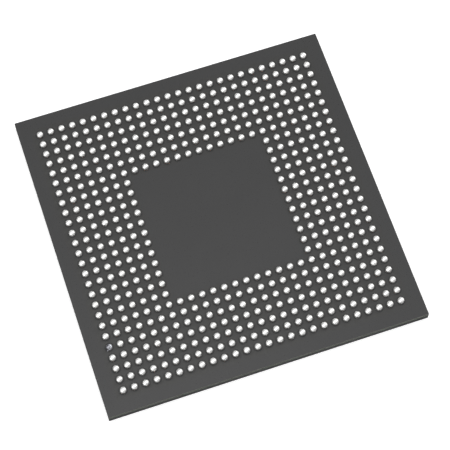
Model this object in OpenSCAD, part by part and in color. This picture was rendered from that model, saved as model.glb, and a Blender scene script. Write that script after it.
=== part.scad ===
// Fine-pitch ball grid array package, lying on its marking face with the solder balls up.
// Z = 0 is the marking face, the origin is the middle of that face, and row A with column 1
// is the corner at -X -Y.

/* [Ball grid] */
// Ball places along each side of the square grid
grid_n = 26; // [20:2:26]
// Empty places along each side of the bare centre
bare_n = 12; // [12:2:14]
// Distance between neighbouring ball centres
pitch = 0.8; // [0.75:0.05:1]
// Distance from the outer ball centres to the side of the body
edge_margin = 1.5; // [1:0.1:2]

/* [Solder balls] */
// Diameter of a solder ball
ball_d = 0.5; // [0.46:0.02:0.54]
// Height of a ball's centre over the solder mask
ball_rise = 0.1; // [0.06:0.01:0.14]
// Column number of the crushed ball
crushed_column = 1; // [1:1:7]
// Row number of the crushed ball, counted from row A
crushed_row = 5; // [1:1:20]
// Height of the crushed ball's centre over the solder mask
crushed_rise = 0.07; // [0.03:0.01:0.09]
// Depth of the flats knocked into the crushed ball
dent_depth = 0.06; // [0.02:0.01:0.08]

/* [Substrate] */
// Thickness of the laminate core
core_t = 0.2; // [0.1:0.01:0.4]
// Thickness of the copper on each side of the core
copper_t = 0.02; // [0.012:0.001:0.035]
// Thickness of the solder mask over the copper
mask_cover = 0.015; // [0.01:0.001:0.03]
// Width of the solder mask's overlap on a land
land_overlap = 0.05; // [0.02:0.01:0.06]
// Diameter of a copper via through the core
via_d = 0.15; // [0.1:0.01:0.2]
// Width of the copper ring round a via
via_ring = 0.075; // [0.05:0.005:0.08]
// Width of the neck between a land and its via
neck_w = 0.12; // [0.08:0.01:0.15]

/* [Bond fingers] */
// Rings of vias, counted from the bare centre, that are wired to the die
wired_rings = 3; // [1:1:3]
// Width of a trace from a via to its bond finger
trace_w = 0.08; // [0.04:0.01:0.1]
// Length of a bond finger
finger_l = 0.3; // [0.2:0.01:0.35]
// Width of a bond finger
finger_w = 0.14; // [0.08:0.01:0.16]
// Distance from a bond finger's outer end to the inner vias' copper
finger_setback = 0.2; // [0.15:0.01:0.22]
// Distance from the bond fingers to the edge of their window in the solder mask
window_margin = 0.06; // [0.03:0.01:0.1]

/* [Die] */
// Width of the square die
die_w = 8; // [6:0.1:8.6]
// Thickness of the die
die_t = 0.18; // [0.1:0.01:0.24]
// Thickness of the die attach film
attach_t = 0.03; // [0.02:0.005:0.05]
// Distance that the die attach film reaches past the die
attach_margin = 0.1; // [0:0.01:0.15]
// Distance from a bond pad's centre to the edge of the die
pad_inset = 0.08; // [0.05:0.01:0.15]
// Distance from the last bond pad of a side to the die's corner
pad_corner = 0.4; // [0.3:0.05:1]

/* [Bond wires] */
// Diameter of a bond wire
wire_d = 0.025; // [0.018:0.001:0.04]
// Height of a wire's loop over the line between its two bonds
loop_h = 0.25; // [0.15:0.01:0.28]
// Diameter of the ball bond on the die
ball_bond_d = 0.06; // [0.045:0.005:0.08]
// Distance from a finger's inner end to the middle of its stitch bond
stitch_inset = 0.12; // [0.08:0.01:0.16]

/* [Mould cap] */
// Thickness of the mould cap
cap_t = 0.53; // [0.48:0.01:0.9]
// Diameter of the pin one dimple
dimple_d = 1; // [0.6:0.1:1.4]
// Depth of the pin one dimple
dimple_depth = 0.05; // [0.02:0.01:0.1]
// Distance from the dimple's centre to the two nearest sides
dimple_inset = 1.5; // [1:0.1:3]

/* [Hidden] */
$fn = 48;
cut = 1; // how far a cutter runs past the face that it opens

// Row letters leave out those that are easily misread
LETTERS = "ABCDEFGHJKLMNPRTUVWY";
function row_name(row) = row < len(LETTERS) ? LETTERS[row] : str("A", LETTERS[row - len(LETTERS)]);
function row_node(row) = str("balls_row_", row_name(row));

SIDES = ["right", "back", "left", "front"];
function wires_node(side) = str("bond_wires_", SIDES[side]);

// Plan sizes
array_half = (grid_n - 1) / 2 * pitch;
body_w = 2 * (array_half + edge_margin);
opening_d = 2 * sqrt(pow(ball_d / 2, 2) - pow(ball_rise, 2)); // a ball fills its opening in the mask
crushed_d = 2 * norm([opening_d / 2, crushed_rise]);
land_d = opening_d + 2 * land_overlap;
via_pad_d = via_d + 2 * via_ring;
lane_step = pitch / wired_rings;
wired_columns = bare_n / 2;
fingers_per_half = wired_columns * wired_rings;
first_via = (bare_n / 2 + 1) * pitch;
finger_out = first_via - via_pad_d / 2 - finger_setback;
finger_in = finger_out - finger_l;
pad_step = (die_w / 2 - pad_corner) / fingers_per_half;

// Heights over the marking face
mask_t = copper_t + mask_cover;
core_z = cap_t + mask_t;
core_top = core_z + core_t;
ball_face = core_top + mask_t;
land_z = core_top + copper_t;
die_top = cap_t - attach_t;
die_z = die_top - die_t;
finger_z = core_z - copper_t;
ball_z = ball_face + ball_rise;
crushed_z = ball_face + crushed_rise;

// Flats of the crushed ball, each as azimuth and elevation of its outward direction
FLATS = [[118, 32], [200, 8], [150, 75], [-30, 12]];
// The solder pushed out at its foot, as azimuth, distance and diameter
SMEAR = [225, 0.22, 0.13];
// Angle that a trace turns through where it reaches its lane
LANE_TURN = 45;

// Place of a ball row or column along its axis, counted from 0
function place(n) = (n - (grid_n - 1) / 2) * pitch;
function is_bare(n) = abs(place(n)) < bare_n / 2 * pitch;
function is_ball(column, row) = !(is_bare(column) && is_bare(row));
function is_crushed(column, row) = column == crushed_column - 1 && row == crushed_row - 1;
// A via stands half a pitch outward from its ball, along both axes
function via_place(n) = place(n) + sign(place(n)) * pitch / 2;

// The ring that a via stands in, counted from 1 at the bare centre
function via_ring_number(column, row) =
    round((max(abs(via_place(column)), abs(via_place(row))) - first_via) / pitch) + 1;
// Whether a via is wired to the die: it faces a side of the bare centre, in one of its inner rings
function is_wired(column, row) = via_ring_number(column, row) <= wired_rings
    && min(abs(via_place(column)), abs(via_place(row))) < first_via - pitch / 2;

// A slab over the whole plan of the body
module slab(z, t) {
    translate([-body_w / 2, -body_w / 2, z]) cube([body_w, body_w, t]);
}

// A straight strip between two points of the plan
module strip(from, to, w) {
    run = to - from;
    translate(from) rotate([0, 0, atan2(run[1], run[0])]) translate([0, -w / 2]) square([norm(run), w]);
}

// Solder balls

// Solder that fills an opening down to the land
module solder_foot() {
    translate([0, 0, land_z]) cylinder(d = opening_d, h = ball_face - land_z);
}

// The part of a ball that stands over the solder mask
module solder_dome(d, centre_z) {
    intersection() {
        translate([0, 0, centre_z]) sphere(d = d);
        translate([-d, -d, ball_face]) cube([2 * d, 2 * d, 2 * d]);
    }
}

module solder_ball() {
    solder_foot();
    solder_dome(ball_d, ball_z);
}

module ball_row(row) {
    color("gainsboro")
    for (column = [0 : grid_n - 1])
        if (is_ball(column, row) && !is_crushed(column, row))
            translate([place(column), place(row)]) solder_ball();
}

// A ball that was knocked: smaller, with flats, and with solder smeared out at its foot
module crushed_ball() {
    color("slategray")
    translate([place(crushed_column - 1), place(crushed_row - 1)]) {
        solder_foot();
        difference() {
            solder_dome(crushed_d, crushed_z);
            for (flat = FLATS)
                translate([0, 0, crushed_z]) rotate([0, 90 - flat[1], flat[0]])
                    translate([-cut, -cut, crushed_d / 2 - dent_depth]) cube([2 * cut, 2 * cut, cut]);
        }
        rotate([0, 0, SMEAR[0]]) translate([SMEAR[1], 0, 0]) solder_dome(SMEAR[2], ball_face);
    }
}

// Copper circuits: each is one piece of foil and plating, from a ball's land to the die side

// Plan of a land, with its neck to the copper ring on the via
module land(ball, via) {
    translate(ball) circle(d = land_d);
    translate(via) circle(d = via_pad_d);
    strip(ball, via, neck_w);
}

// Plan of the trace and finger of a via that has x at most y, both positive: the trace leaves
// the via on the diagonal until it reaches its lane, turns in a mitre, and runs into the finger
module trace_and_finger(via, ring) {
    lane = (ring - 1) * lane_step;
    turn = via - [lane, lane];
    half_w = trace_w / 2;
    end = finger_out - finger_w / 2;
    start = half_w * [cos(LANE_TURN), -sin(LANE_TURN)];
    mitre = half_w * [1, -tan(LANE_TURN / 2)];
    right = ring > 1 ? [via + start, turn + mitre] : [via + [half_w, 0]];
    left = ring > 1 ? [turn - mitre, via - start] : [via - [half_w, 0]];
    polygon(concat(right, [[turn[0] + half_w, end], [turn[0] - half_w, end]], left));
    translate([turn[0] - finger_w / 2, finger_in]) square([finger_w, finger_l]);
}

// Moves its children, drawn for an x at most y and both positive, to where the point v lies
module to_octant(v) {
    mirror([v[0] < 0 ? 1 : 0, 0, 0])
        mirror([0, v[1] < 0 ? 1 : 0, 0])
            mirror(abs(v[0]) > abs(v[1]) ? [1, -1, 0] : [0, 0, 0])
                children();
}

module ball_side_copper(column, row) {
    translate([0, 0, core_top]) linear_extrude(copper_t)
        land([place(column), place(row)], [via_place(column), via_place(row)]);
}

module die_side_copper(column, row) {
    via = [via_place(column), via_place(row)];
    far = max(abs(via[0]), abs(via[1]));
    near = min(abs(via[0]), abs(via[1]));
    translate([0, 0, finger_z]) linear_extrude(copper_t) {
        translate(via) circle(d = via_pad_d);
        if (is_wired(column, row))
            to_octant(via) trace_and_finger([near, far], via_ring_number(column, row));
    }
}

// The barrel reaches half into the copper on each side of the core
module via_barrel(column, row) {
    translate([via_place(column), via_place(row), core_z - copper_t / 2])
        cylinder(d = via_d, h = core_t + copper_t);
}

module copper_circuits() {
    color("peru")
    for (row = [0 : grid_n - 1], column = [0 : grid_n - 1])
        if (is_ball(column, row)) {
            ball_side_copper(column, row);
            via_barrel(column, row);
            die_side_copper(column, row);
        }
}

// Laminate and solder mask

module ball_side_mask() {
    color("dimgray")
    difference() {
        slab(core_top, mask_t);
        for (row = [0 : grid_n - 1], column = [0 : grid_n - 1])
            if (is_ball(column, row)) {
                ball_side_copper(column, row);
                translate([place(column), place(row), land_z]) cylinder(d = opening_d, h = cut);
            }
    }
}

module substrate_core() {
    color("darkolivegreen")
    difference() {
        slab(core_z, core_t);
        for (row = [0 : grid_n - 1], column = [0 : grid_n - 1])
            if (is_ball(column, row)) via_barrel(column, row);
    }
}

// The window that leaves the bond fingers free of solder mask
module finger_window() {
    inner = 2 * (finger_in - window_margin);
    outer = 2 * (finger_out + window_margin);
    translate([0, 0, cap_t]) linear_extrude(mask_t) difference() {
        square(outer, center = true);
        square(inner, center = true);
    }
}

module die_side_mask() {
    color("seagreen")
    difference() {
        slab(cap_t, mask_t);
        for (row = [0 : grid_n - 1], column = [0 : grid_n - 1])
            if (is_ball(column, row)) die_side_copper(column, row);
        finger_window();
    }
}

// Die and its wires

module die_attach() {
    w = die_w + 2 * attach_margin;
    color("silver") translate([-w / 2, -w / 2, die_top]) cube([w, w, attach_t]);
}

module die() {
    color("lightslategray") translate([-die_w / 2, -die_w / 2, die_z]) cube([die_w, die_w, die_t]);
}

// One wire from a bond pad to a finger: a ball bond on the die, and an arc that loops away from
// the substrate. The arc starts inside the ball bond and runs on past the finger's surface.
module bond_wire(pad, finger) {
    start = [pad[0], pad[1], die_z - wire_d / 2];
    end = [finger[0], finger[1], finger_z];
    run = end - start;
    chord = norm(run);
    loop_r = chord * chord / (8 * loop_h) + loop_h / 2;
    half_angle = asin(chord / 2 / loop_r);
    past_angle = wire_d / loop_r * 180 / PI;
    rise = asin(run[2] / chord);
    translate([pad[0], pad[1], die_z - wire_d]) cylinder(d = ball_bond_d, h = wire_d);
    translate(start) rotate([0, 0, atan2(run[1], run[0])]) rotate([0, -rise, 0])
        translate([chord / 2, 0, loop_r - loop_h]) rotate([90, 0, 0])
            rotate([0, 0, 270 - half_angle]) rotate_extrude(angle = 2 * half_angle + past_angle)
                translate([loop_r, 0]) circle(d = wire_d);
}

// The wires of one side, drawn for the back side and turned, and cut off flat on the fingers
module side_wires(side) {
    color("gold")
    rotate([0, 0, 90 * side - 90])
        difference() {
            for (flip = [0, 1], n = [1 : fingers_per_half])
                mirror([flip, 0, 0])
                    bond_wire([n * pad_step, die_w / 2 - pad_inset], [n * lane_step, finger_in + stitch_inset]);
            slab(finger_z, cut);
        }
}

// Mould cap, which fills the finger window and holds the die and its wires

module pin_one_dimple() {
    corner = dimple_inset - body_w / 2;
    translate([corner, corner, -cut]) cylinder(d = dimple_d, h = cut + dimple_depth);
}

module mold_cap() {
    color("dimgray")
    difference() {
        union() {
            slab(0, cap_t);
            finger_window();
        }
        for (row = [0 : grid_n - 1], column = [0 : grid_n - 1])
            if (is_ball(column, row) && is_wired(column, row)) die_side_copper(column, row);
        die_attach();
        die();
        for (side = [0 : 3]) side_wires(side);
        pin_one_dimple();
    }
}

mold_cap();
die();
die_attach();
for (side = [0 : 3]) side_wires(side);
die_side_mask();
substrate_core();
copper_circuits();
ball_side_mask();
for (row = [0 : grid_n - 1]) ball_row(row);
crushed_ball();
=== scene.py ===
import math
import random

import bpy
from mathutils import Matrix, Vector


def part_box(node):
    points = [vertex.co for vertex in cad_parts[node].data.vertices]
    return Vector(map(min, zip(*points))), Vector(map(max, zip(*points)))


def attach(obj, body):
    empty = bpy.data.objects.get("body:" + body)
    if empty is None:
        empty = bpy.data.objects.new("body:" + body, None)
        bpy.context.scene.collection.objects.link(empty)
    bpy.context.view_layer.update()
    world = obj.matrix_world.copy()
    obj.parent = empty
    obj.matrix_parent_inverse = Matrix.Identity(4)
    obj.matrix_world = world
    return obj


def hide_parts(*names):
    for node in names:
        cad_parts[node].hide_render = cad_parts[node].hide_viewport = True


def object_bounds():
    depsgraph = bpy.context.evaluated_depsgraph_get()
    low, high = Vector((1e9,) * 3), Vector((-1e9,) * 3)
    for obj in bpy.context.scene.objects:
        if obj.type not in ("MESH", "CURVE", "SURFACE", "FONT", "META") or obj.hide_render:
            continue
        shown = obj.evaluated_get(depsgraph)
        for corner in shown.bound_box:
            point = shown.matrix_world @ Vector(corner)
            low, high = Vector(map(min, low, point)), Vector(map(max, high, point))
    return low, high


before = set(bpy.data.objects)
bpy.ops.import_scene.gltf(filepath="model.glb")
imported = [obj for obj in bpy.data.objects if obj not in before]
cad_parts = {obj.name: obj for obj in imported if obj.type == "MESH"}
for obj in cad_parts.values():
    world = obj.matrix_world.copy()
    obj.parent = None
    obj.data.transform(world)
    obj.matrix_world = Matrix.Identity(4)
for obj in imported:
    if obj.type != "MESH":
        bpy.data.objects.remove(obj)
cad_lowest, cad_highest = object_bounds()

MM = 0.001

# Camera
# It looks down on the ball side over the front of the left side, through a long lens, so that
# the rows of balls run up to the right.

CAMERA_AT = (-13.3545 * MM, -41.3441 * MM, 106.5286 * MM)
CAMERA_TURN = (22.04, -0.0065, -18.644)  # degrees
LENS = 130.17

bpy.ops.object.camera_add(location=CAMERA_AT, rotation=[math.radians(turn) for turn in CAMERA_TURN])
camera = bpy.context.object
camera.name = "camera"
camera.data.lens = LENS
camera.data.clip_start = 1 * MM
camera.data.clip_end = 20
bpy.context.scene.camera = camera
bpy.context.scene.view_settings.view_transform = "Standard"


# Floor
# A wide sheet of white acrylic on a light table: it glows a little, so the package throws
# almost no shadow on it.

FLOOR_W = 8
FLOOR_WHITE = (0.93, 0.93, 0.93, 1)
FLOOR_GLOW = 0.35
FLOOR_ROUGH = (0.7, 0.8)
FLOOR_CLOUDS = 40


def put(tree, kind, inputs=None, **settings):
    """Adds a node, sets its settings, and fills its inputs with values or with outputs of others."""
    made = tree.nodes.new(kind)
    for name, value in settings.items():
        setattr(made, name, value)
    for key, value in (inputs or {}).items():
        if isinstance(value, bpy.types.NodeSocket):
            tree.links.new(value, made.inputs[key])
        else:
            made.inputs[key].default_value = value
    return made


def finish_of(name, sockets):
    """A material with one Principled shader, whose even values are set on its own sockets."""
    material = bpy.data.materials.new(name)
    material.use_nodes = True
    tree = material.node_tree
    shader = tree.nodes["Principled BSDF"]
    for socket, value in sockets.items():
        shader.inputs[socket].default_value = value
    return material, tree, shader


bpy.ops.object.select_all(action="DESELECT")
bpy.ops.mesh.primitive_plane_add(size=FLOOR_W, location=(0, 0, cad_lowest.z))
floor = bpy.context.object
floor.name = "floor"
bpy.ops.object.transform_apply(location=True, rotation=True, scale=True)
acrylic, tree, shader = finish_of(
    "white_acrylic",
    {"Base Color": FLOOR_WHITE, "Emission Color": FLOOR_WHITE, "Emission Strength": FLOOR_GLOW},
)
where = put(tree, "ShaderNodeTexCoord").outputs["Object"]
cloud = put(tree, "ShaderNodeTexNoise", {"Vector": where, "Scale": FLOOR_CLOUDS, "Detail": 2})
rough = put(tree, "ShaderNodeMapRange", {0: cloud.outputs["Fac"], 3: FLOOR_ROUGH[0], 4: FLOOR_ROUGH[1]})
tree.links.new(rough.outputs[0], shader.inputs["Roughness"])
floor.data.materials.append(acrylic)


# Studio light
# A wide panel overhead with a small brighter one in it, a long soft box low down on two opposite
# sides, and a dim room. The balls mirror the panels, and the gaps between them show as grey. The
# small one gives the mask its faint sheen towards the front left corner.

PANELS = {  # azimuth and elevation from the part, distance, width, height, radiance
    "panel_overhead": (0, 90, 0.50, 0.90, 0.90, 1.02),
    "panel_key": (80, 84, 0.50, 0.16, 0.16, 2.2),
    "softbox_right": (24, 24, 0.60, 0.60, 0.40, 1.9),
    "softbox_left": (204, 24, 0.60, 0.60, 0.40, 1.9),
}
ROOM_GREY = 0.42
ROOM_SEEN = 0.95


def hang_panel(name, azimuth, elevation, distance, width, height, radiance):
    """A rectangular light that faces the part. Power is radiance times pi times area."""
    flat = math.cos(math.radians(elevation))
    away = Vector((
        math.cos(math.radians(azimuth)) * flat,
        math.sin(math.radians(azimuth)) * flat,
        math.sin(math.radians(elevation)),
    ))
    bpy.ops.object.light_add(type="AREA", location=away * distance)
    light = bpy.context.object
    light.name = name
    light.rotation_euler = away.to_track_quat("Z", "Y").to_euler()
    light.data.shape = "RECTANGLE"
    light.data.size = width
    light.data.size_y = height
    light.data.energy = radiance * math.pi * width * height
    return light


for name, panel in PANELS.items():
    hang_panel(name, *panel)

world = bpy.data.worlds.new("room")
bpy.context.scene.world = world
world.use_nodes = True
tree = world.node_tree
room = tree.nodes["Background"]
room.inputs["Strength"].default_value = 1
seen = put(tree, "ShaderNodeLightPath").outputs["Is Camera Ray"]
tone = put(tree, "ShaderNodeMapRange", {0: seen, 3: ROOM_GREY, 4: ROOM_SEEN})
tree.links.new(tone.outputs[0], room.inputs["Color"])


# Laminate core
# Glass cloth in dark resin. It shows only at the sawn sides, where its yarns lie in the cut as
# pale olive streaks.

RESIN = (0.020, 0.018, 0.014, 1)
GLASS_YARN = (0.066, 0.064, 0.042, 1)
YARN_L = 0.45 * MM
YARN_T = 0.035 * MM
RESIN_ROUGH = 0.7
YARN_ROUGH = 0.5
YARN_RELIEF = 0.01 * MM
STREAK_EDGES = (0.35, 0.65)


def new_group(name, inputs, outputs):
    """An empty node group with its named sockets. Returns it with its inner input and output nodes."""
    group = bpy.data.node_groups.new(name, "ShaderNodeTree")
    for socket, kind, value in inputs:
        made = group.interface.new_socket(socket, in_out="INPUT", socket_type=kind)
        if value is not None:
            made.default_value = value
    for socket, kind in outputs:
        group.interface.new_socket(socket, in_out="OUTPUT", socket_type=kind)
    return group, group.nodes.new("NodeGroupInput"), group.nodes.new("NodeGroupOutput")


def use_group(tree, group, inputs):
    return put(tree, "ShaderNodeGroup", inputs, node_tree=group)


def blend(tree, share, first, second):
    """The first colour, going over to the second as the share goes from 0 to 1."""
    return put(tree, "ShaderNodeMix", {"Factor": share, 6: first, 7: second}, data_type="RGBA").outputs[2]


def dress(node, material):
    """Puts a material on a CAD node in place of the one that it came with."""
    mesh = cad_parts[node].data
    mesh.materials.clear()
    mesh.materials.append(material)


# Effect: streaks along the sawn sides. Along runs round the package, Up is its height.
streaks, given, out = new_group(
    "streaks",
    [
        ("Vector", "NodeSocketVector", None),
        ("Length", "NodeSocketFloat", 1 * MM),
        ("Thickness", "NodeSocketFloat", 0.05 * MM),
    ],
    [("Streak", "NodeSocketFloat")],
)
parts = put(streaks, "ShaderNodeSeparateXYZ", {0: given.outputs["Vector"]})
along = put(streaks, "ShaderNodeMath", {0: parts.outputs["X"], 1: parts.outputs["Y"]}, operation="ADD")
run = put(streaks, "ShaderNodeMath", {0: along.outputs[0], 1: given.outputs["Length"]}, operation="DIVIDE")
up = put(streaks, "ShaderNodeMath", {0: parts.outputs["Z"], 1: given.outputs["Thickness"]}, operation="DIVIDE")
place = put(streaks, "ShaderNodeCombineXYZ", {"X": run.outputs[0], "Z": up.outputs[0]})
noise = put(streaks, "ShaderNodeTexNoise", {
    "Vector": place.outputs[0], "Scale": 1, "Detail": 2, "Roughness": 0.6,
})
sharp = put(streaks, "ShaderNodeMapRange", {
    0: noise.outputs["Fac"], 1: STREAK_EDGES[0], 2: STREAK_EDGES[1],
})
streaks.links.new(sharp.outputs[0], out.inputs["Streak"])

laminate, tree, shader = finish_of("glass_laminate", {"IOR": 1.5, "Specular IOR Level": 0.05})
where = put(tree, "ShaderNodeTexCoord").outputs["Object"]
yarns = use_group(tree, streaks, {"Vector": where, "Length": YARN_L, "Thickness": YARN_T})
yarn = yarns.outputs["Streak"]
tree.links.new(blend(tree, yarn, RESIN, GLASS_YARN), shader.inputs["Base Color"])
rough = put(tree, "ShaderNodeMapRange", {0: yarn, 3: RESIN_ROUGH, 4: YARN_ROUGH})
tree.links.new(rough.outputs[0], shader.inputs["Roughness"])
bump = put(tree, "ShaderNodeBump", {"Height": yarn, "Strength": 0.4, "Distance": YARN_RELIEF})
tree.links.new(bump.outputs[0], shader.inputs["Normal"])
dress("substrate_core", laminate)


# Copper circuits
# Electroplated foil, one circuit for each ball: the land under it, the via through the core,
# and on the die side a trace and its bond finger. The surface has a fine plated grain.

COPPER = (0.83, 0.42, 0.27, 1)
COPPER_DULL = (0.55, 0.24, 0.14, 1)
NOISE_LOW = 0.3
NOISE_HIGH = 0.7

# Effect: fine grain, as a mask from 0 to 1 and as a height.
grain, given, out = new_group(
    "grain",
    [
        ("Vector", "NodeSocketVector", None),
        ("Size", "NodeSocketFloat", 0.05 * MM),
        ("Patches", "NodeSocketFloat", 1 * MM),
    ],
    [("Grain", "NodeSocketFloat"), ("Patch", "NodeSocketFloat")],
)
fine = put(grain, "ShaderNodeMath", {0: 1, 1: given.outputs["Size"]}, operation="DIVIDE")
wide = put(grain, "ShaderNodeMath", {0: 1, 1: given.outputs["Patches"]}, operation="DIVIDE")
where = given.outputs["Vector"]
small = put(grain, "ShaderNodeTexNoise", {"Vector": where, "Scale": fine.outputs[0], "Detail": 3})
large = put(grain, "ShaderNodeTexNoise", {"Vector": where, "Scale": wide.outputs[0], "Detail": 2})
spread = put(grain, "ShaderNodeMapRange", {0: small.outputs["Fac"], 1: NOISE_LOW, 2: NOISE_HIGH})
broad = put(grain, "ShaderNodeMapRange", {0: large.outputs["Fac"], 1: NOISE_LOW, 2: NOISE_HIGH})
grain.links.new(spread.outputs[0], out.inputs["Grain"])
grain.links.new(broad.outputs[0], out.inputs["Patch"])


def grained(name, size, patches, colours, roughness, height, sockets):
    """A material whose colour drifts between two tones, with grain in its gloss and relief."""
    material, tree, shader = finish_of(name, sockets)
    where = put(tree, "ShaderNodeTexCoord").outputs["Object"]
    effect = use_group(tree, grain, {"Vector": where, "Size": size, "Patches": patches})
    tone = blend(tree, effect.outputs["Patch"], *colours)
    gloss = put(tree, "ShaderNodeMapRange", {0: effect.outputs["Grain"], 3: roughness[0], 4: roughness[1]})
    relief = put(tree, "ShaderNodeBump", {
        "Height": effect.outputs["Grain"], "Strength": 0.5, "Distance": height,
    })
    tree.links.new(tone, shader.inputs["Base Color"])
    tree.links.new(gloss.outputs[0], shader.inputs["Roughness"])
    tree.links.new(relief.outputs[0], shader.inputs["Normal"])
    return material


dress("copper_circuits", grained(
    "plated_copper", 0.02 * MM, 0.6 * MM, (COPPER, COPPER_DULL), (0.28, 0.42), 0.001 * MM, {"Metallic": 1},
))


# Die side of the substrate
# A thin green solder mask, printed over the traces. It has a square window round the die, where
# the bond fingers lie bare.

INNER_MASK = (0.018, 0.085, 0.045, 1)
INNER_MASK_PALE = (0.026, 0.11, 0.06, 1)

dress("die_side_mask", grained(
    "inner_mask", 0.05 * MM, 1.5 * MM, (INNER_MASK, INNER_MASK_PALE), (0.3, 0.42), 0.002 * MM, {"IOR": 1.5},
))


# Die and its film
# A sawn square of silicon, ground on its back, stuck face up with a film of silver-filled
# adhesive that shows as a thin line at its foot.

SILICON = (0.16, 0.165, 0.18, 1)
SILICON_GROUND = (0.21, 0.215, 0.225, 1)
FILM = (0.56, 0.56, 0.54, 1)
FILM_DULL = (0.45, 0.45, 0.44, 1)

dress("die", grained(
    "silicon", 0.01 * MM, 2 * MM, (SILICON, SILICON_GROUND), (0.12, 0.22), 0.0005 * MM, {"Metallic": 0.6},
))
dress("die_attach", grained(
    "adhesive_film", 0.02 * MM, 0.8 * MM, (FILM, FILM_DULL), (0.45, 0.6), 0.002 * MM, {"Metallic": 0.3},
))


# Bond wires
# Drawn gold wire, 36 to a side. Each is ball-bonded to a pad of the die, looped outward, and
# stitched to its finger on the substrate.

GOLD = (0.95, 0.70, 0.30, 1)
GOLD_DEEP = (0.86, 0.58, 0.22, 1)

gold = grained(
    "gold_wire", 0.006 * MM, 0.4 * MM, (GOLD, GOLD_DEEP), (0.2, 0.32), 0.0003 * MM, {"Metallic": 1},
)
for side in ("right", "back", "left", "front"):
    dress("bond_wires_" + side, gold)


# Mould cap
# Black epoxy filled with ground silica, moulded over the whole strip and then sawn through.
# Its face is satin from the mould, and its sides show the filler and the marks of the blade.

EPOXY = (0.022, 0.022, 0.023, 1)
EPOXY_CUT = (0.018, 0.018, 0.018, 1)
SILICA = (0.05, 0.05, 0.05, 1)
SPECK_FROM = 0.72  # the grain past which filler lies bare
SPECK_MOST = 0.5
MOULDED = 0.5  # how far a face is turned up, from moulded faces to sawn ones
SAWN = 0.2
EPOXY_ROUGH = (0.5, 0.62)
BLADE_RELIEF = 0.003 * MM

epoxy, tree, shader = finish_of("filled_epoxy", {"IOR": 1.5, "Specular IOR Level": 0.05})
where = put(tree, "ShaderNodeTexCoord").outputs["Object"]
outward = put(tree, "ShaderNodeNewGeometry").outputs["True Normal"]
turned = put(tree, "ShaderNodeSeparateXYZ", {0: outward})
upright = put(tree, "ShaderNodeMath", {0: turned.outputs["Z"]}, operation="ABSOLUTE")
sawn = put(tree, "ShaderNodeMapRange", {0: upright.outputs[0], 1: MOULDED, 2: SAWN})
filler = use_group(tree, grain, {"Vector": where, "Size": 0.025 * MM, "Patches": 1.2 * MM})
blade = use_group(tree, streaks, {"Vector": where, "Length": 2.5 * MM, "Thickness": 0.03 * MM})
ground = blend(tree, sawn.outputs[0], EPOXY, EPOXY_CUT)
speck = put(tree, "ShaderNodeMapRange", {0: filler.outputs["Grain"], 1: SPECK_FROM, 4: SPECK_MOST})
bare = put(tree, "ShaderNodeMath", {0: speck.outputs[0], 1: sawn.outputs[0]}, operation="MULTIPLY")
tree.links.new(blend(tree, bare.outputs[0], ground, SILICA), shader.inputs["Base Color"])
rough = put(tree, "ShaderNodeMapRange", {0: filler.outputs["Patch"], 3: EPOXY_ROUGH[0], 4: EPOXY_ROUGH[1]})
tree.links.new(rough.outputs[0], shader.inputs["Roughness"])
marks = put(tree, "ShaderNodeMath", {0: blade.outputs["Streak"], 1: sawn.outputs[0]}, operation="MULTIPLY")
height = put(tree, "ShaderNodeMath", {0: marks.outputs[0], 1: filler.outputs["Grain"]}, operation="ADD")
bump = put(tree, "ShaderNodeBump", {"Height": height.outputs[0], "Strength": 0.5, "Distance": BLADE_RELIEF})
tree.links.new(bump.outputs[0], shader.inputs["Normal"])
dress("mold_cap", epoxy)


# Ball side solder mask
# Dark grey mask, printed over the copper, so that each land with its neck and via stands up a
# little under it. It has a satin skin, and is a shade warmer where there is copper below. In a ring
# round each ball it is rougher and has painted shade: it is darkened there for the ball's shadow on it.

PITCH = 0.8 * MM
BARE_CELLS = 6  # from the middle to the inner edge of the balls' field, and to its outer edge
FIELD_CELLS = 13
MASK = (0.0147, 0.0147, 0.0149, 1)
MASK_WARM = (0.0147, 0.0145, 0.0131, 1)
PAINTED_SHADE_RING = (0.006, 0.006, 0.006, 1)
SHADE_RING_ROUGHER = 0.15
MASK_ROUGH = (0.27, 0.33)
DRIFT = (0.94, 1.06)
WARMTH = 0.8
PEEL_RELIEF = 0.002 * MM
COPPER_RELIEF = 0.01 * MM
LAND_R = 0.31  # radii and edges, as shares of the pitch
NECK_R = 0.10
VIA_R = 0.19
SLOPE = 0.03
RING_IN = 0.33
RING_OUT = 0.52

# Effect: the relief of lands, necks and vias. One cell of the grid holds a ball in its middle,
# a via in each corner, and a neck from the ball to the corner that points away from the centre.
lands, given, out = new_group(
    "lands_and_vias",
    [("Vector", "NodeSocketVector", None)],
    [("Relief", "NodeSocketFloat"), ("Field", "NodeSocketFloat"), ("Ring", "NodeSocketFloat")],
)


def step(tree, operation, a, b=None, c=None):
    """One arithmetic node, as its output."""
    inputs = {i: v for i, v in enumerate((a, b, c)) if v is not None}
    return put(tree, "ShaderNodeMath", inputs, operation=operation).outputs[0]


def vector_step(tree, operation, a, b=None, output=0):
    """One vector node, as its output: 0 is its vector and 1 its value."""
    inputs = {i: v for i, v in enumerate((a, b)) if v is not None}
    return put(tree, "ShaderNodeVectorMath", inputs, operation=operation).outputs[output]


def fade(tree, value, outer, inner):
    """A mask that is 0 at the outer value and 1 at the inner one."""
    return put(tree, "ShaderNodeMapRange", {0: value, 1: outer, 2: inner}).outputs[0]


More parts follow.
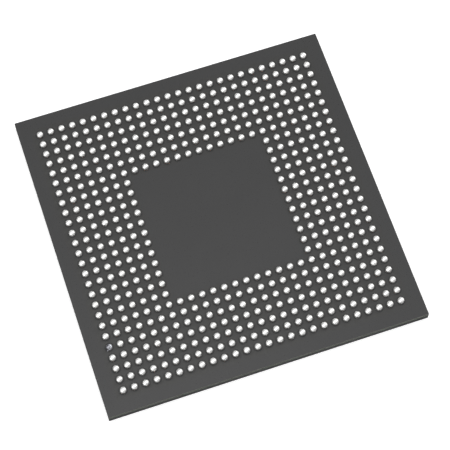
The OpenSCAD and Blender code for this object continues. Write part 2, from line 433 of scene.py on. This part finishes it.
plan = vector_step(lands, "MULTIPLY", given.outputs["Vector"], (1 / PITCH, 1 / PITCH, 0))
folded = vector_step(lands, "ABSOLUTE", plan)
cell = vector_step(lands, "SUBTRACT", vector_step(lands, "FRACTION", folded), (0.5, 0.5, 0))
parts = put(lands, "ShaderNodeSeparateXYZ", {0: folded})
reach = step(lands, "MAXIMUM", parts.outputs["X"], parts.outputs["Y"])
outside_bare = fade(lands, reach, BARE_CELLS - 0.1, BARE_CELLS + 0.1)
inside_field = fade(lands, reach, FIELD_CELLS + 0.35, FIELD_CELLS + 0.15)
field = step(lands, "MULTIPLY", outside_bare, inside_field)
from_ball = vector_step(lands, "LENGTH", cell, output=1)
land = fade(lands, from_ball, LAND_R + SLOPE, LAND_R)
inside_balls = fade(lands, reach, FIELD_CELLS + 0.05, FIELD_CELLS - 0.05)
land = step(lands, "MULTIPLY", land, inside_balls)
corner = vector_step(lands, "SUBTRACT", vector_step(lands, "ABSOLUTE", cell), (0.5, 0.5, 0))
from_via = vector_step(lands, "LENGTH", corner, output=1)
via = fade(lands, from_via, VIA_R + SLOPE, VIA_R)
outside_vias = fade(lands, reach, BARE_CELLS + 0.4, BARE_CELLS + 0.6)
via = step(lands, "MULTIPLY", via, outside_vias)
half_diagonal = math.sqrt(0.5)
along = vector_step(lands, "DOT_PRODUCT", cell, (half_diagonal, half_diagonal, 0), output=1)
along = step(lands, "MAXIMUM", along, 0.0)
share = step(lands, "MULTIPLY", along, half_diagonal)
foot = put(lands, "ShaderNodeCombineXYZ", {"X": share, "Y": share}).outputs[0]
from_neck = vector_step(lands, "LENGTH", vector_step(lands, "SUBTRACT", cell, foot), output=1)
neck = fade(lands, from_neck, NECK_R + SLOPE, NECK_R)
neck = step(lands, "MULTIPLY", neck, inside_balls)
raised = step(lands, "MAXIMUM", step(lands, "MAXIMUM", land, via), neck)
lands.links.new(step(lands, "MULTIPLY", raised, field), out.inputs["Relief"])
lands.links.new(field, out.inputs["Field"])
# The ring is painted shade: a band round each ball, darkened for the shadow the ball throws on the mask.
ring = fade(lands, from_ball, RING_OUT, RING_IN)
ring = step(lands, "MULTIPLY", step(lands, "MULTIPLY", ring, field), inside_balls)
lands.links.new(ring, out.inputs["Ring"])

mask, tree, shader = finish_of("outer_mask", {"IOR": 1.45})
where = put(tree, "ShaderNodeTexCoord").outputs["Object"]
copper_below = use_group(tree, lands, {"Vector": where})
skin = use_group(tree, grain, {"Vector": where, "Size": 0.06 * MM, "Patches": 2.5 * MM})
tint = step(tree, "MULTIPLY", copper_below.outputs["Field"], WARMTH)
colour = blend(tree, tint, MASK, MASK_WARM)
drift = put(tree, "ShaderNodeMapRange", {0: skin.outputs["Patch"], 3: DRIFT[0], 4: DRIFT[1]}).outputs[0]
shade = put(tree, "ShaderNodeVectorMath", {0: colour, "Scale": drift}, operation="SCALE").outputs[0]
# Painted shade: the mask's colour goes over to near-black in the ring round each ball.
tree.links.new(blend(tree, copper_below.outputs["Ring"], shade, PAINTED_SHADE_RING), shader.inputs["Base Color"])
rough = put(tree, "ShaderNodeMapRange", {0: skin.outputs["Grain"], 3: MASK_ROUGH[0], 4: MASK_ROUGH[1]})
dull = step(tree, "MULTIPLY_ADD", copper_below.outputs["Ring"], SHADE_RING_ROUGHER, rough.outputs[0])
tree.links.new(dull, shader.inputs["Roughness"])
peel = put(tree, "ShaderNodeBump", {
    "Height": skin.outputs["Grain"], "Strength": 0.3, "Distance": PEEL_RELIEF,
})
relief = put(tree, "ShaderNodeBump", {
    "Height": copper_below.outputs["Relief"],
    "Strength": 0.35,
    "Distance": COPPER_RELIEF,
    "Normal": peel.outputs[0],
})
tree.links.new(relief.outputs[0], shader.inputs["Normal"])
dress("ball_side_mask", mask)


# Solder balls
# Tin-silver-copper solder, dropped on the lands as balls and reflowed, so each is a sphere cut
# off where it wets its land. They are bright, and no two have quite the same skin.

BALL_D = 0.5 * MM
BALL_RISE = 0.1 * MM
SOLDER = (0.93, 0.93, 0.915, 1)
SOLDER_GREY = (0.84, 0.84, 0.835, 1)
SOLDER_ROUGH = (0.36, 0.46)
SKIN_RELIEF = 0.002 * MM
BALL_SEGMENTS = 12
BALL_RINGS = 7
WIDTHS = (0.985, 1.005)  # how far balls differ from the named size
HEIGHTS = (0.98, 1)
SEED = 26
LETTERS = "ABCDEFGHJKLMNPRTUVWY"
COUNT = 26
CRUSHED = ("E", 0)  # its row, and its column counted from 0

face_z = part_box("ball_side_mask")[1].z
foot_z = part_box("balls_row_B")[0].z
row_names = list(LETTERS) + ["A" + letter for letter in LETTERS[: COUNT - len(LETTERS)]]
chance = random.Random(SEED)


def grid_place(n):
    return (n - (COUNT - 1) / 2) * PITCH


def is_bare(n):
    return abs(grid_place(n)) < BARE_CELLS * PITCH


def put_at_origin(piece):
    """Moves a piece's place, turn and size into its mesh."""
    bpy.ops.object.select_all(action="DESELECT")
    piece.select_set(True)
    bpy.context.view_layer.objects.active = piece
    bpy.ops.object.transform_apply(location=True, rotation=True, scale=True)


def solder_ball(diameter, rise, segments, rings):
    """A ball with its centre so high over the mask, cut off level with it, and drawn down through
    the opening to its land. The middle of its foot, level with the mask, is at the origin."""
    bpy.ops.object.select_all(action="DESELECT")
    bpy.ops.mesh.primitive_uv_sphere_add(
        segments=segments, ring_count=rings, radius=diameter / 2, location=(0, 0, rise),
    )
    ball = bpy.context.object
    put_at_origin(ball)
    bpy.ops.object.mode_set(mode="EDIT")
    bpy.ops.mesh.select_all(action="SELECT")
    bpy.ops.mesh.bisect(plane_co=(0, 0, 0), plane_no=(0, 0, 1), clear_inner=True, use_fill=True)
    bpy.ops.mesh.extrude_region_move(TRANSFORM_OT_translate={"value": (0, 0, foot_z - face_z)})
    bpy.ops.object.mode_set(mode="OBJECT")
    bpy.ops.object.shade_smooth_by_angle(angle=math.radians(50))
    return ball


solder, tree, shader = finish_of("bright_solder", {"Metallic": 1})
where = put(tree, "ShaderNodeTexCoord").outputs["Object"]
of_ball = put(tree, "ShaderNodeVectorMath", {0: where, 1: (PITCH, PITCH, 1)}, operation="SNAP").outputs[0]
luck = put(tree, "ShaderNodeTexWhiteNoise", {"Vector": of_ball}).outputs["Value"]
skin = use_group(tree, grain, {"Vector": where, "Size": 0.05 * MM, "Patches": 0.3 * MM})
dull = step(tree, "MULTIPLY", luck, skin.outputs["Patch"])
tree.links.new(blend(tree, dull, SOLDER, SOLDER_GREY), shader.inputs["Base Color"])
uneven = step(tree, "ADD", luck, skin.outputs["Grain"])
rough = put(tree, "ShaderNodeMapRange", {0: uneven, 2: 2, 3: SOLDER_ROUGH[0], 4: SOLDER_ROUGH[1]})
tree.links.new(rough.outputs[0], shader.inputs["Roughness"])
bump = put(tree, "ShaderNodeBump", {
    "Height": skin.outputs["Grain"], "Strength": 0.35, "Distance": SKIN_RELIEF,
})
tree.links.new(bump.outputs[0], shader.inputs["Normal"])

pattern = solder_ball(BALL_D, BALL_RISE, BALL_SEGMENTS, BALL_RINGS)
for row, row_name in enumerate(row_names):
    balls = []
    for column in range(COUNT):
        if (is_bare(column) and is_bare(row)) or (row_name, column) == CRUSHED:
            continue
        ball = pattern.copy()
        ball.data = pattern.data.copy()
        bpy.context.collection.objects.link(ball)
        ball.location = (grid_place(column), grid_place(row), face_z)
        ball.rotation_euler = (0, 0, chance.uniform(0, math.tau))
        width = chance.uniform(*WIDTHS)
        ball.scale = (width, width, chance.uniform(*HEIGHTS))
        balls.append(ball)
    bpy.ops.object.select_all(action="DESELECT")
    for ball in balls:
        ball.select_set(True)
    bpy.context.view_layer.objects.active = balls[0]
    bpy.ops.object.join()
    piece = bpy.context.object
    piece.name = "solder_row_" + row_name
    put_at_origin(piece)
    piece.data.materials.append(solder)
    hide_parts("balls_row_" + row_name)
    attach(piece, "root")
bpy.data.objects.remove(pattern)


# Crushed ball
# The ball at column 1 of row E has been knocked: it is smaller, has three flats knocked into it,
# is duller and a little bluish, and some of its solder is smeared out beside its foot.

CRUSHED_D = 0.479 * MM
CRUSHED_RISE = 0.07 * MM
CRUSHED_SEGMENTS = 32
CRUSHED_RINGS = 24
DENT = 0.06 * MM
DENTS = [(137, 56), (165, 10), (100, 20)]  # azimuth and elevation of each flat
SMEAR = (232, 0.21 * MM, 0.12 * MM)  # azimuth, distance and diameter
SMEAR_LIFT = 0.01 * MM
SMEAR_STRETCH = (1.25, 0.9, 0.7)
SKIN_VOXEL = 0.009 * MM
CRUMPLE_SIZE = 0.1 * MM
CRUMPLE = 0.02 * MM
TARNISH = (0.79, 0.80, 0.85, 1)
TARNISH_DARK = (0.64, 0.66, 0.72, 1)
TARNISH_ROUGH = (0.3, 0.5)
TARNISH_RELIEF = 0.006 * MM

crushed = solder_ball(CRUSHED_D, CRUSHED_RISE, CRUSHED_SEGMENTS, CRUSHED_RINGS)
bpy.ops.object.mode_set(mode="EDIT")
for azimuth, elevation in DENTS:
    a, e = math.radians(azimuth), math.radians(elevation)
    outward = Vector((math.cos(a) * math.cos(e), math.sin(a) * math.cos(e), math.sin(e)))
    bpy.ops.mesh.select_all(action="SELECT")
    bpy.ops.mesh.bisect(
        plane_co=Vector((0, 0, CRUSHED_RISE)) + outward * (CRUSHED_D / 2 - DENT),
        plane_no=outward, clear_outer=True, use_fill=True,
    )
bpy.ops.object.mode_set(mode="OBJECT")
crushed.name = "crushed_solder"
a = math.radians(SMEAR[0])
bpy.ops.object.select_all(action="DESELECT")
bpy.ops.mesh.primitive_uv_sphere_add(
    segments=20, ring_count=14, radius=SMEAR[2] / 2, scale=SMEAR_STRETCH, rotation=(0, 0, a),
    location=(math.cos(a) * SMEAR[1], math.sin(a) * SMEAR[1], SMEAR_LIFT),
)
smear = bpy.context.object
put_at_origin(smear)
crushed.select_set(True)
bpy.context.view_layer.objects.active = crushed
bpy.ops.object.join()
remesh = crushed.modifiers.new("one_skin", "REMESH")
remesh.mode = "VOXEL"
remesh.voxel_size = SKIN_VOXEL
bpy.ops.object.modifier_apply(modifier="one_skin")
crumple = bpy.data.textures.new("crumple", "CLOUDS")
crumple.noise_scale = CRUMPLE_SIZE
dents = crushed.modifiers.new("crumple", "DISPLACE")
dents.texture = crumple
dents.strength = CRUMPLE
dents.mid_level = 0.6
bpy.ops.object.modifier_apply(modifier="crumple")
smooth = crushed.modifiers.new("soften", "SMOOTH")
smooth.factor = 0.5
smooth.iterations = 2
bpy.ops.object.modifier_apply(modifier="soften")
bpy.ops.object.shade_smooth_by_angle(angle=math.radians(35))
crushed.location = (grid_place(CRUSHED[1]), grid_place(row_names.index(CRUSHED[0])), face_z)
put_at_origin(crushed)

tarnished, tree, shader = finish_of("tarnished_solder", {"Metallic": 1})
where = put(tree, "ShaderNodeTexCoord").outputs["Object"]
skin = use_group(tree, grain, {"Vector": where, "Size": 0.03 * MM, "Patches": 0.12 * MM})
tree.links.new(blend(tree, skin.outputs["Patch"], TARNISH, TARNISH_DARK), shader.inputs["Base Color"])
rough = put(tree, "ShaderNodeMapRange", {0: skin.outputs["Grain"], 3: TARNISH_ROUGH[0], 4: TARNISH_ROUGH[1]})
tree.links.new(rough.outputs[0], shader.inputs["Roughness"])
bump = put(tree, "ShaderNodeBump", {
    "Height": skin.outputs["Grain"], "Strength": 0.5, "Distance": TARNISH_RELIEF,
})
tree.links.new(bump.outputs[0], shader.inputs["Normal"])
crushed.data.materials.append(tarnished)
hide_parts("crushed_ball")
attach(crushed, "root")
